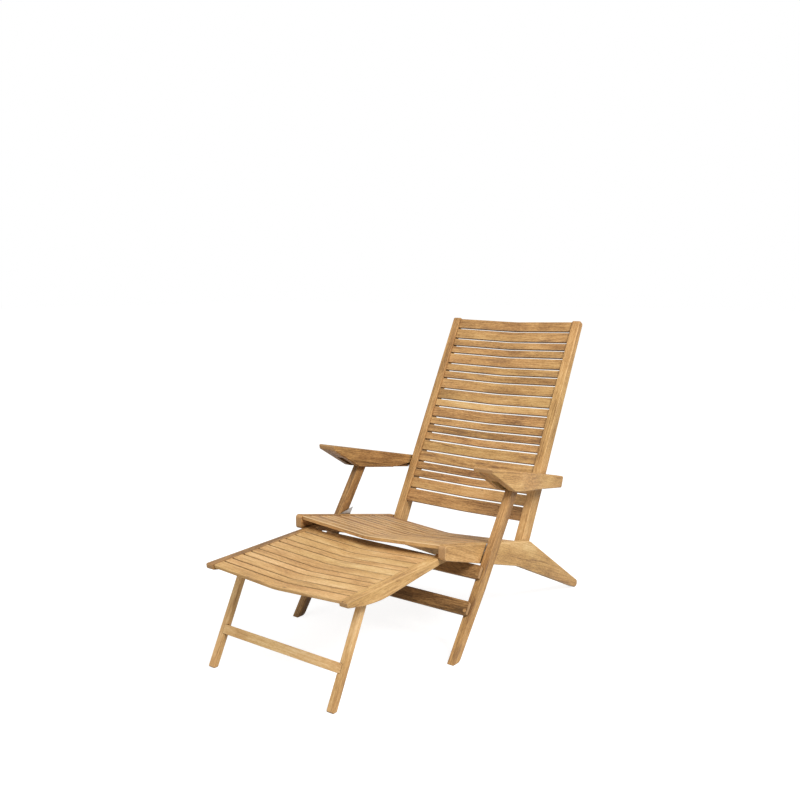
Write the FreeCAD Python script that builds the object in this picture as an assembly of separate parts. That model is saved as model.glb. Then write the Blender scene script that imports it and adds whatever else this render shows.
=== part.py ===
import FreeCAD, Part
import math
import os

# Teak steamer deck chair: folding front legs, reclining back, stowing footrest.
# Millimetres, +Z up, sitter faces -Y, +X is the sitter's left.
# Side drawing coordinates are (y, z); the drawing is moved by DRAWING_SHIFT on
# export so that the origin lies on the floor under the middle of the chair.

DRAWING_SHIFT = 148.5

# General fits
RUN_FIT = 0.05          # radial play of a pivot pin in the piece that turns on it
JOINERY_PLAY = 0.15     # play round a slat end in its housing
EDGE_BREAK = 2.2        # broken edges of the arms
FINE_BREAK = 1.2        # broken upper edges of the slats
PIN_R = 5.0             # pins of the legs and of the backrest
ARM_PIN_R = 7.0         # pins that carry the arms
PIN_END_PLAY = 0.5      # free depth beyond the end of each blind pin

# Seat rails
RAIL_INNER = 238.0
RAIL_THICK = 22.0
RAIL_OUTER = RAIL_INNER + RAIL_THICK
RAIL_FRONT = (-352.0, 314.0)
SEAT_SLOPE = 0.215
RAIL_BEND_Y = 82.0
RAIL_REAR_SLOPE = 0.645
RAIL_FRONT_DEPTH = 43.0
RAIL_UNDER_SLOPE = 0.295
RAIL_UNDER_BEND_Y = 14.0
RAIL_UNDER_REAR_SLOPE = 0.449
RAIL_FOOT_Y = 395.5
RAIL_FOOT_UNDER_Y = 393.0
RAIL_NOSE_R = 8.0
RAIL_BEND_R = 14.0
RAIL_UNDER_BEND_R = 60.0
RAIL_FOOT_R = 11.0

# Slats
GAP = 4.5
WIDE = 33.3
NARROW = 22.8
HOUSED = 8.0            # how far each slat end is let into its rail

SEAT_PATTERN = "FWNNWWNWWNWW"
SEAT_START = 4.0
SEAT_RECESS = 7.5
SEAT_SLAT_THICK = 10.5
SEAT_FRONT_THICK = 14.0
SEAT_DIP = 13.0

# Backrest
STILE_INNER = 211.0
STILE_THICK = 26.0
STILE_OUTER = STILE_INNER + STILE_THICK
STILE_REF = (72.0, 222.0)
STILE_DIR = (0.4767, 0.8791)
STILE_TOP = 716.0
STILE_FOOT = -30.0
STILE_DEPTH_TOP = 25.0
STILE_DEPTH_FOOT = 41.0
STILE_FOOT_CUT = 9.0
BACK_TOP_EDGE = 713.0
BACK_PATTERN = "WWNNWNNWWNWNNNWWNNWB"
BACK_BOTTOM_WIDTH = 42.0
BACK_RECESS = 6.0
BACK_SLAT_THICK = 10.0
BACK_DIP = 13.0
BACK_PIVOT = (88.0, 200.0)
PEG = (173.5, 370.0)
PEG_R = 7.0
PEG_REACH = 15.0
PEG_SET = 15.0

# Front legs
LEG_INNER = 262.5
LEG_THICK = 21.0
LEG_OUTER = LEG_INNER + LEG_THICK
LEG_DEPTH = 33.0
LEG_PIVOT = (-170.5, 235.0)
ARM_PIVOT = (-38.6, 425.0)
LEG_TOE_Y = -354.0
LEG_TOE_DEPTH = 29.3
LEG_TAPER_Z = 160.0
LEG_TOE_BACK_R = 18.0
CROSSBAR_HALF = 276.0
CROSSBAR_HEIGHT = 38.0
CROSSBAR_THICK = 12.0
CROSSBAR_UPPER = 30.0
CROSSBAR_LOWER = 130.0
CROSSBAR_CORNER = 4.0

# Arms
ARM_INNER = 243.0
ARM_OUTER = 306.0
ARM_REAR_OUTER = 270.0
ARM_TOP = (-201.0, 488.0)
ARM_SLOPE = 0.2234
ARM_NOSE_Y = -209.0
ARM_NOSE_UNDER = (-206.0, 475.0)
ARM_KNEE = (-90.0, 407.0)
ARM_UNDER_FRONT = (-40.0, 397.5)
ARM_UNDER_REAR = (246.0, 352.0)
ARM_REAR_Y = 259.0
MORTISE_PLAY = 0.5
MORTISE_FRONT_Y = -150.0
MORTISE_CEILING = 9.2
MORTISE_REACH = 180.0
LEG_SWING_REAR = 328.0
REBATE_WIDTH = 11.0
REBATE_FRONT_Y = 78.0
REBATE_HIGH = 379.2
REBATE_CREST = 8.2
REBATE_SLOPE = 0.112
NOTCHES = ((173.5, 370.0), (205.6, 367.2), (235.9, 363.0))
NOTCH_R = 8.0
NOTCH_RISE = 2.5

# Stop brackets
BRACKET_THICK = 2.0
LUG_THICK = 6.5
LUG_REACH = 12.0
LUG_PLAY = 0.4

# Footrest
REST_INNER = 212.0
REST_THICK = 25.0
REST_OUTER = REST_INNER + REST_THICK
REST_TOP_REF = (-708.0, 262.0)
REST_SLOPE = 0.0337
REST_NOSE_Y = -710.0
REST_PATTERN = "WNWNNWWNWWW"
REST_START = 3.0
REST_RECESS = 1.0
REST_SLAT_THICK = 9.0
REST_DIP = 12.0
REST_PIN = (-274.3, 266.8)
REST_PIN_R = 4.0
REST_END_R = 9.8
REST_NOSE_R = 4.0
REST_NOSE_UNDER = (-708.0, 252.5)
REST_BELLY = ((-655.0, 238.8, 120.0), (-585.0, 232.6, 300.0), (-335.0, 257.1, 150.0))
REST_PIN_SET = 15.0
GROOVE_DEPTH = 5.0
GROOVE_PLAY = 0.3
SLIDE_LENGTH = 320.0

# Footrest legs
RLEG_INNER = 190.5
RLEG_THICK = 20.0
RLEG_OUTER = RLEG_INNER + RLEG_THICK
RLEG_DEPTH = 15.3
RLEG_PIVOT = (-607.3, 244.5)
RLEG_DIR = (0.44, 0.898)
RLEG_TOE_R = 4.0
RBAR_NEAR = 163.0
RBAR_HEIGHT = 23.4
RBAR_THICK = 9.0


def unit(y, z):
    length = math.hypot(y, z)
    return (y / length, z / length)


def along(point, direction, distance):
    return (point[0] + direction[0] * distance, point[1] + direction[1] * distance)


def turned(direction):
    # quarter turn from +Y towards +Z
    return (-direction[1], direction[0])


def side(x):
    return lambda a, b: FreeCAD.Vector(x, a, b)


def front(y):
    return lambda a, b: FreeCAD.Vector(a, y, b)


def plan(z):
    return lambda a, b: FreeCAD.Vector(a, b, z)


def face_of(corners, place):
    # corners are (a, b, radius); sharp where the radius is zero
    count = len(corners)
    stops = []
    for i in range(count):
        a, b, radius = corners[i]
        before = corners[i - 1]
        after = corners[(i + 1) % count]
        back = unit(before[0] - a, before[1] - b)
        ahead = unit(after[0] - a, after[1] - b)
        if radius <= 0.0:
            stops.append(((a, b), None, (a, b)))
            continue
        cosine = back[0] * ahead[0] + back[1] * ahead[1]
        half = math.acos(max(-1.0, min(1.0, cosine))) / 2.0
        reach = radius / math.tan(half)
        bisector = unit(back[0] + ahead[0], back[1] + ahead[1])
        depth = radius / math.sin(half) - radius
        start = along((a, b), back, reach)
        middle = along((a, b), bisector, depth)
        end = along((a, b), ahead, reach)
        stops.append((start, middle, end))
    edges = []
    for i in range(count):
        start, middle, end = stops[i]
        following = stops[(i + 1) % count][0]
        if middle is not None:
            edges.append(Part.Arc(place(*start), place(*middle), place(*end)).toShape())
        if math.hypot(following[0] - end[0], following[1] - end[1]) > 1e-6:
            edges.append(Part.makeLine(place(*end), place(*following)))
    return Part.Face(Part.Wire(edges))


def broken(solid, size, chosen):
    # the chosen edges taken off with a small flat
    edges = [edge for edge in solid.Edges if chosen(edge)]
    return solid.makeChamfer(size, edges)


def is_upright(edge):
    return abs(edge.Vertexes[0].Z - edge.Vertexes[-1].Z) > 1.0


def board(corners, x0, x1):
    # a timber sawn to a side outline
    return face_of(corners, side(x0)).extrude(FreeCAD.Vector(x1 - x0, 0, 0))


def rod(radius, x0, x1, centre):
    start = FreeCAD.Vector(x0, centre[0], centre[1])
    return Part.makeCylinder(radius, x1 - x0, start, FreeCAD.Vector(1, 0, 0))


def block(corners, x0, x1):
    return face_of([(a, b, 0.0) for a, b in corners], side(x0)).extrude(FreeCAD.Vector(x1 - x0, 0, 0))


def mirrored(shape):
    return shape.mirror(FreeCAD.Vector(0, 0, 0), FreeCAD.Vector(1, 0, 0))


def laid(shape, origin, direction):
    # local +Y runs along the direction, local +Z along its quarter turn
    angle = math.degrees(math.atan2(direction[1], direction[0]))
    copy = shape.copy()
    copy.rotate(FreeCAD.Vector(0, 0, 0), FreeCAD.Vector(1, 0, 0), angle)
    copy.translate(FreeCAD.Vector(0, origin[0], origin[1]))
    return copy


def slat_width(kind):
    if kind == "B":
        return BACK_BOTTOM_WIDTH
    if kind == "N":
        return NARROW
    return WIDE


def slat(width, thick, half, dip):
    # creased plank with its ends let into the rails; the top edge where it enters them is z = 0
    far = half + HOUSED
    plank = face_of([
        (-far, 0.0, 0.0),
        (-far, -thick, 0.0),
        (-half, -thick, 0.0),
        (0.0, -thick - dip, 0.0),
        (half, -thick, 0.0),
        (far, -thick, 0.0),
        (far, 0.0, 0.0),
        (half, 0.0, 0.0),
        (0.0, -dip, 0.0),
        (-half, 0.0, 0.0),
    ], front(0.0)).extrude(FreeCAD.Vector(0, width, 0))

    def is_upper(edge):
        heights = sorted(vertex.Z for vertex in edge.Vertexes)
        return abs(heights[0] + dip) < 1e-4 and abs(heights[-1]) < 1e-4

    return broken(plank, FINE_BREAK, is_upper)


def housing(width, thick, half):
    corner = FreeCAD.Vector(half, -JOINERY_PLAY, -thick - JOINERY_PLAY)
    return Part.makeBox(HOUSED + JOINERY_PLAY, width + 2.0 * JOINERY_PLAY, thick + 2.0 * JOINERY_PLAY, corner)


def slat_row(pattern, start, direction, origin, recess, half, dip, thick_of):
    # pieces and their housings, laid one after another along the direction
    pieces = []
    housings = []
    normal = turned(direction)
    place = start
    for kind in pattern:
        width = slat_width(kind)
        thick, drop = thick_of(kind, recess)
        spot = along(along(origin, direction, place), normal, -drop)
        pieces.append(laid(slat(width, thick, half, dip), spot, direction))
        housings.append(laid(housing(width, thick, half), spot, direction))
        place += width + GAP
    return pieces, housings


def cut_all(shape, tools):
    for tool in tools:
        shape = shape.cut(tool)
    return shape


# Shared directions
SEAT_DIR = unit(1.0, -SEAT_SLOPE)
SEAT_UP = turned(SEAT_DIR)
LEG_DIR = unit(ARM_PIVOT[0] - LEG_PIVOT[0], ARM_PIVOT[1] - LEG_PIVOT[1])
LEG_FRONT = turned(LEG_DIR)
STILE_UP = unit(*STILE_DIR)
STILE_FRONT = turned(STILE_UP)
REST_DIR = unit(1.0, REST_SLOPE)
REST_UP = turned(REST_DIR)
RLEG_UP = unit(*RLEG_DIR)
RLEG_FRONT = turned(RLEG_UP)

nodes = {}


def pair(name, left):
    nodes[name + "_left"] = left
    nodes[name + "_right"] = mirrored(left)


def both(name, left):
    nodes[name] = Part.makeCompound([left, mirrored(left)])


# Seat slats
def seat_thickness(kind, recess):
    if kind == "F":
        return SEAT_FRONT_THICK, 0.0
    return SEAT_SLAT_THICK, recess


seat_slats, seat_housings = slat_row(
    SEAT_PATTERN, SEAT_START, SEAT_DIR, RAIL_FRONT, SEAT_RECESS, RAIL_INNER, SEAT_DIP, seat_thickness)


# Seat rails
def rail_top(y):
    if y <= RAIL_BEND_Y:
        return RAIL_FRONT[1] - SEAT_SLOPE * (y - RAIL_FRONT[0])
    bend = RAIL_FRONT[1] - SEAT_SLOPE * (RAIL_BEND_Y - RAIL_FRONT[0])
    return bend - RAIL_REAR_SLOPE * (y - RAIL_BEND_Y)


def rail_under(y):
    nose = RAIL_FRONT[1] - RAIL_FRONT_DEPTH
    if y <= RAIL_UNDER_BEND_Y:
        return nose - RAIL_UNDER_SLOPE * (y - RAIL_FRONT[0])
    bend = nose - RAIL_UNDER_SLOPE * (RAIL_UNDER_BEND_Y - RAIL_FRONT[0])
    return bend - RAIL_UNDER_REAR_SLOPE * (y - RAIL_UNDER_BEND_Y)


heel_y = RAIL_UNDER_BEND_Y + rail_under(RAIL_UNDER_BEND_Y) / RAIL_UNDER_REAR_SLOPE
rail = board([
    (RAIL_FRONT[0], RAIL_FRONT[1], RAIL_NOSE_R),
    (RAIL_FRONT[0], rail_under(RAIL_FRONT[0]), RAIL_NOSE_R),
    (RAIL_UNDER_BEND_Y, rail_under(RAIL_UNDER_BEND_Y), RAIL_UNDER_BEND_R),
    (heel_y, 0.0, 0.0),
    (RAIL_FOOT_UNDER_Y, 0.0, RAIL_FOOT_R),
    (RAIL_FOOT_Y, rail_top(RAIL_FOOT_Y), RAIL_FOOT_R),
    (RAIL_BEND_Y, rail_top(RAIL_BEND_Y), RAIL_BEND_R),
], RAIL_INNER, RAIL_OUTER)
rail = cut_all(rail, seat_housings)

groove_r = REST_PIN_R + GROOVE_PLAY
groove_end = along(REST_PIN, SEAT_DIR, SLIDE_LENGTH)
groove_x1 = RAIL_INNER + GROOVE_DEPTH
groove_sides = []
for spot, sign in ((REST_PIN, 1), (groove_end, 1), (groove_end, -1), (REST_PIN, -1)):
    groove_sides.append(along(spot, SEAT_UP, sign * groove_r))
rail = cut_all(rail, [
    block(groove_sides, RAIL_INNER, groove_x1),
    rod(groove_r, RAIL_INNER, groove_x1, REST_PIN),
    rod(groove_r, RAIL_INNER, groove_x1, groove_end),
])

# Pivot pins carried by the rails
leg_pin_x0 = RAIL_OUTER - 15.0
leg_pin_x1 = LEG_INNER + 16.5
back_pin_x0 = STILE_OUTER - 15.0
back_pin_x1 = RAIL_INNER + 16.0
rail = rail.cut(rod(PIN_R, leg_pin_x0, RAIL_OUTER, LEG_PIVOT))
rail = rail.cut(rod(PIN_R, RAIL_INNER, back_pin_x1, BACK_PIVOT))
both("leg_pivot_pins", rod(PIN_R, leg_pin_x0, leg_pin_x1, LEG_PIVOT))
both("back_pivot_pins", rod(PIN_R, back_pin_x0, back_pin_x1, BACK_PIVOT))

# Stop brackets with a lug behind each leg
bracket_x1 = RAIL_OUTER + BRACKET_THICK
leg_back = along(LEG_PIVOT, LEG_FRONT, -LEG_DEPTH / 2.0)
lug_near = along(leg_back, LEG_FRONT, -LUG_PLAY)
lug_far = along(lug_near, LEG_FRONT, -LUG_THICK)
plate = face_of([
    (-188.0, 229.0, 5.0),
    (-150.0, 218.0, 5.0),
    along(lug_far, LEG_DIR, 23.0) + (0.0,),
    along(lug_far, LEG_DIR, 51.0) + (0.0,),
    along(lug_near, LEG_DIR, 58.0) + (0.0,),
    (-166.0, 272.0, 5.0),
    (-190.0, 246.0, 5.0),
], side(RAIL_OUTER)).extrude(FreeCAD.Vector(BRACKET_THICK, 0, 0))
lug = block([
    along(lug_near, LEG_DIR, 34.0),
    along(lug_far, LEG_DIR, 31.0),
    along(lug_far, LEG_DIR, 51.0),
    along(lug_near, LEG_DIR, 56.0),
], bracket_x1 - 0.5, bracket_x1 + LUG_REACH)
bracket = plate.fuse(lug).removeSplitter()
bracket = bracket.cut(rod(PIN_R, RAIL_OUTER, bracket_x1, LEG_PIVOT))
pair("stop_bracket", bracket)
pair("seat_rail", rail)

nodes["seat_slat_front"] = seat_slats[0]
nodes["seat_slats_wide"] = Part.makeCompound(
    [piece for piece, kind in zip(seat_slats, SEAT_PATTERN) if kind == "W"])
nodes["seat_slats_narrow"] = Part.makeCompound(
    [piece for piece, kind in zip(seat_slats, SEAT_PATTERN) if kind == "N"])

# Backrest: stiles, slats and the pegs that carry the arms
back_width = sum(slat_width(kind) for kind in BACK_PATTERN) + GAP * (len(BACK_PATTERN) - 1)
back_start = BACK_TOP_EDGE - back_width
back_slats, back_housings = slat_row(
    BACK_PATTERN[::-1], back_start, STILE_UP, STILE_REF, BACK_RECESS, STILE_INNER, BACK_DIP,
    lambda kind, recess: (BACK_SLAT_THICK, recess))
for number, piece in enumerate(reversed(back_slats), 1):
    nodes["back_slat_%02d" % number] = piece


def stile_point(height, depth, radius):
    spot = along(along(STILE_REF, STILE_UP, height), STILE_FRONT, -depth)
    return (spot[0], spot[1], radius)


stile = board([
    stile_point(STILE_TOP, 0.0, 7.0),
    stile_point(STILE_FOOT + STILE_FOOT_CUT, 0.0, 0.0),
    stile_point(STILE_FOOT, STILE_FOOT_CUT, 0.0),
    stile_point(STILE_FOOT, STILE_DEPTH_FOOT - STILE_FOOT_CUT, 0.0),
    stile_point(STILE_FOOT + STILE_FOOT_CUT, STILE_DEPTH_FOOT, 0.0),
    stile_point(STILE_TOP, STILE_DEPTH_TOP, 7.0),
], STILE_INNER, STILE_OUTER)
stile = cut_all(stile, back_housings)
peg_x0 = STILE_OUTER - PEG_SET
stile = stile.cut(rod(PIN_R + RUN_FIT, back_pin_x0 - PIN_END_PLAY, STILE_OUTER, BACK_PIVOT))
stile = stile.cut(rod(PEG_R, peg_x0, STILE_OUTER, PEG))
pair("back_stile", stile)
peg = rod(PEG_R, peg_x0, STILE_OUTER + PEG_REACH, PEG)
both("arm_pegs", peg)

# Front legs and their two crossbars
toe_back = LEG_TOE_Y + LEG_TOE_DEPTH
leg_front_line = along(LEG_PIVOT, LEG_FRONT, LEG_DEPTH / 2.0)
toe_front = along(leg_front_line, LEG_DIR, -leg_front_line[1] / LEG_DIR[1])
taper = along(leg_back, LEG_DIR, (LEG_TAPER_Z - leg_back[1]) / LEG_DIR[1])
head_front = along(along(ARM_PIVOT, LEG_FRONT, LEG_DEPTH / 2.0), LEG_DIR, LEG_DEPTH / 2.0)
head_back = along(along(ARM_PIVOT, LEG_FRONT, -LEG_DEPTH / 2.0), LEG_DIR, LEG_DEPTH / 2.0)
head_r = LEG_DEPTH / 2.0 - 0.1
leg = board([
    toe_front + (0.0,),
    (toe_back, 0.0, LEG_TOE_BACK_R),
    taper + (120.0,),
    head_back + (head_r,),
    head_front + (head_r,),
], LEG_INNER, LEG_OUTER)
leg = leg.cut(rod(PIN_R + RUN_FIT, LEG_INNER, leg_pin_x1 + PIN_END_PLAY, LEG_PIVOT))
leg = leg.cut(rod(ARM_PIN_R + RUN_FIT, LEG_INNER, LEG_OUTER, ARM_PIVOT))

bar_corner = FreeCAD.Vector(-CROSSBAR_HALF, 0, 0)
crossbar = Part.makeBox(2.0 * CROSSBAR_HALF, CROSSBAR_HEIGHT, CROSSBAR_THICK, bar_corner)
crossbar = broken(crossbar, CROSSBAR_CORNER, is_upright)
for name, drop in (("leg_crossbar_upper", CROSSBAR_UPPER), ("leg_crossbar_lower", CROSSBAR_LOWER)):
    low_edge = along(leg_front_line, LEG_DIR, -drop - CROSSBAR_HEIGHT)
    nodes[name] = laid(crossbar, low_edge, LEG_DIR)
pair("front_leg", leg)


# Arms
def arm_top(y):
    return ARM_TOP[1] - ARM_SLOPE * (y - ARM_TOP[0])


arm_side = face_of([
    (ARM_NOSE_Y, arm_top(ARM_NOSE_Y), 4.0),
    (ARM_NOSE_UNDER[0], ARM_NOSE_UNDER[1], 4.0),
    (ARM_KNEE[0], ARM_KNEE[1], 30.0),
    (ARM_UNDER_FRONT[0], ARM_UNDER_FRONT[1], 60.0),
    (ARM_UNDER_REAR[0], ARM_UNDER_REAR[1], 6.0),
    (ARM_REAR_Y, arm_top(ARM_REAR_Y), 6.0),
], side(ARM_INNER)).extrude(FreeCAD.Vector(ARM_OUTER - ARM_INNER, 0, 0))
arm_plan = face_of([
    (ARM_INNER, -240.0, 0.0),
    (ARM_OUTER - 1.0, -240.0, 0.0),
    (ARM_OUTER, -60.0, 300.0),
    (ARM_REAR_OUTER + 9.0, 120.0, 300.0),
    (ARM_REAR_OUTER, 290.0, 0.0),
    (ARM_INNER, 290.0, 0.0),
], plan(300.0)).extrude(FreeCAD.Vector(0, 0, 240.0))
arm = arm_side.common(arm_plan)
arm = broken(arm, EDGE_BREAK, lambda edge: True)
mortise_x0 = LEG_INNER - MORTISE_PLAY
mortise_x1 = LEG_OUTER + MORTISE_PLAY
swing = (math.cos(math.radians(LEG_SWING_REAR)), math.sin(math.radians(LEG_SWING_REAR)))
swing_start = along(ARM_PIVOT, turned(swing), LEG_DEPTH / 2.0 + MORTISE_PLAY)
swing_end = along(swing_start, swing, MORTISE_REACH)
mortise = block([
    (MORTISE_FRONT_Y, 330.0),
    (MORTISE_FRONT_Y, arm_top(MORTISE_FRONT_Y) - MORTISE_CEILING),
    (ARM_PIVOT[0], arm_top(ARM_PIVOT[0]) - MORTISE_CEILING),
    swing_start,
    swing_end,
], mortise_x0, mortise_x1)
arm_pin_x0 = ARM_INNER + 6.0
arm_pin_x1 = ARM_OUTER - 8.0
rebate = block([
    (REBATE_FRONT_Y, 320.0),
    (REBATE_FRONT_Y, REBATE_HIGH),
    (PEG[0] - (REBATE_HIGH - PEG[1] - REBATE_CREST) / REBATE_SLOPE, REBATE_HIGH),
    (ARM_REAR_Y + 20.0, PEG[1] + REBATE_CREST - REBATE_SLOPE * (ARM_REAR_Y + 20.0 - PEG[0])),
    (ARM_REAR_Y + 20.0, 320.0),
], ARM_INNER - 1.0, ARM_INNER + REBATE_WIDTH)
arm = arm.cut(mortise)
arm = arm.cut(rod(ARM_PIN_R + RUN_FIT, arm_pin_x0 - PIN_END_PLAY, arm_pin_x1 + PIN_END_PLAY, ARM_PIVOT))
arm = arm.cut(rebate)
for spot in NOTCHES:
    arm = arm.cut(rod(NOTCH_R, ARM_INNER - 1.0, ARM_INNER + REBATE_WIDTH, (spot[0], spot[1] + NOTCH_RISE)))
pair("arm", arm)
both("arm_pivot_pins", rod(ARM_PIN_R, arm_pin_x0, arm_pin_x1, ARM_PIVOT))


# Footrest: rails, slats, running pins and leg pins
def rest_top(y):
    return REST_TOP_REF[1] + REST_SLOPE * (y - REST_TOP_REF[0])


rest_heel = along(REST_PIN, REST_DIR, REST_END_R)
rest_rail = board([
    (REST_NOSE_Y, rest_top(REST_NOSE_Y), REST_NOSE_R),
    REST_NOSE_UNDER + (REST_NOSE_R,),
    *REST_BELLY,
    along(rest_heel, REST_UP, -REST_END_R) + (REST_END_R - 0.5,),
    along(rest_heel, REST_UP, REST_END_R) + (REST_END_R - 0.1,),
], REST_INNER, REST_OUTER)
rest_slats, rest_housings = slat_row(
    REST_PATTERN, REST_START, REST_DIR, REST_TOP_REF, REST_RECESS, REST_INNER, REST_DIP,
    lambda kind, recess: (REST_SLAT_THICK, recess))
rest_rail = cut_all(rest_rail, rest_housings)
rest_pin_x0 = REST_OUTER - REST_PIN_SET
rest_pin_x1 = RAIL_INNER + GROOVE_DEPTH - 0.5
rest_rail = rest_rail.cut(rod(REST_PIN_R + RUN_FIT, rest_pin_x0 - PIN_END_PLAY, REST_OUTER, REST_PIN))
rleg_pin_x0 = RLEG_OUTER - 15.0
rleg_pin_x1 = REST_INNER + 14.0
rest_rail = rest_rail.cut(rod(REST_PIN_R, REST_INNER, rleg_pin_x1, RLEG_PIVOT))
pair("footrest_rail", rest_rail)
for number, piece in enumerate(rest_slats, 1):
    nodes["footrest_slat_%02d" % number] = piece
both("footrest_pins", rod(REST_PIN_R, rest_pin_x0, rest_pin_x1, REST_PIN))
both("footrest_leg_pins", rod(REST_PIN_R, rleg_pin_x0, rleg_pin_x1, RLEG_PIVOT))

# Footrest legs and their crossbar
rleg_front = along(RLEG_PIVOT, RLEG_FRONT, RLEG_DEPTH / 2.0)
rleg_rear = along(RLEG_PIVOT, RLEG_FRONT, -RLEG_DEPTH / 2.0)
rleg_r = RLEG_DEPTH / 2.0 - 0.1
rleg = board([
    along(rleg_front, RLEG_UP, -rleg_front[1] / RLEG_UP[1]) + (RLEG_TOE_R,),
    along(rleg_rear, RLEG_UP, -rleg_rear[1] / RLEG_UP[1]) + (RLEG_TOE_R,),
    along(rleg_rear, RLEG_UP, RLEG_DEPTH / 2.0) + (rleg_r,),
    along(rleg_front, RLEG_UP, RLEG_DEPTH / 2.0) + (rleg_r,),
], RLEG_INNER, RLEG_OUTER)
rleg = rleg.cut(rod(REST_PIN_R + RUN_FIT, rleg_pin_x0 - PIN_END_PLAY, RLEG_OUTER, RLEG_PIVOT))
bar_low = along(rleg_front, RLEG_UP, -RBAR_NEAR - RBAR_HEIGHT)
bar_half = RLEG_INNER + HOUSED
bar = Part.makeBox(2.0 * bar_half, RBAR_HEIGHT, RBAR_THICK, FreeCAD.Vector(-bar_half, 0, -RBAR_THICK))
nodes["footrest_leg_crossbar"] = laid(bar, bar_low, RLEG_UP)
rleg = rleg.cut(laid(housing(RBAR_HEIGHT, RBAR_THICK, RLEG_INNER), bar_low, RLEG_UP))
pair("footrest_leg", rleg)

# Export
os.makedirs("parts", exist_ok=True)
for name, shape in nodes.items():
    moved = shape.copy()
    moved.translate(FreeCAD.Vector(0, DRAWING_SHIFT, 0))
    moved.exportStep("parts/" + name + ".step")
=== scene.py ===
import math

import bmesh
import bpy
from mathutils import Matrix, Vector


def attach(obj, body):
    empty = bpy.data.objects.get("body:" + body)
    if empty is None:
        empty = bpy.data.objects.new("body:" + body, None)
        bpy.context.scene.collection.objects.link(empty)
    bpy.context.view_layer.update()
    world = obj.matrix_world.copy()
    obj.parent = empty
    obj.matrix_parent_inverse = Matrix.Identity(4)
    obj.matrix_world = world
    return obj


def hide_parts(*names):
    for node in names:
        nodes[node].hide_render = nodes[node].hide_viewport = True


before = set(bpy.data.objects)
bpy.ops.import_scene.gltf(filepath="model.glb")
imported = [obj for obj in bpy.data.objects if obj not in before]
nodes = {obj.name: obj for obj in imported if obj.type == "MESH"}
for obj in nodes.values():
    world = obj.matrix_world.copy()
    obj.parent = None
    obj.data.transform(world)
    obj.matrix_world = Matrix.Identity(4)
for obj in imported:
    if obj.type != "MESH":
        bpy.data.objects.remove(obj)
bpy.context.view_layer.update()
scene = bpy.context.scene

# A teak steamer deck chair: the CAD nodes get their finish, while the rails, the stiles, the
# bracket plates and the slats are made anew in their place, with rounder and finer forms.
# Its lengths are in millimetres of a side drawing, y towards the back and z up. An outline is
# a list of (y, z, radius of the corner), and faces across the chair are given by their x.
# Lengths in materials and modifiers, and those of the floor, lamps and camera, are in metres.
SHIFT = 0.1485          # metres from the drawing's origin to the frame's, along y


def drawn(y, z):
    return Vector((0, y / 1000 + SHIFT, z / 1000))


def heading(y, z):
    return Vector((0, y, z)).normalized()


def along(point, direction, distance):
    return (point[0] + direction.y * distance, point[1] + direction.z * distance)


def turned_up(direction):
    return Vector((0, -direction.z, direction.y))


ACROSS = Vector((1, 0, 0))
UP = Vector((0, 0, 1))
SLIDE_DIR = heading(1, -0.215)
RAIL_GRAIN = heading(1, -0.40)
STILE_DIR = heading(0.4767, 0.8791)
REST_DIR = heading(1, 0.0337)
REST_LEG_DIR = heading(0.44, 0.898)
LEG_DIR = heading(0.1319, 0.19)
LEG_FRONT = turned_up(LEG_DIR)
ARM_DIR = heading(1, -0.2234)


# ---------------------------------------------------------------- shader nodes
def linear(r, g, b):
    def channel(c):
        c /= 255
        return c / 12.92 if c <= 0.04045 else ((c + 0.055) / 1.055) ** 2.4
    return (channel(r), channel(g), channel(b), 1.0)


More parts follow.
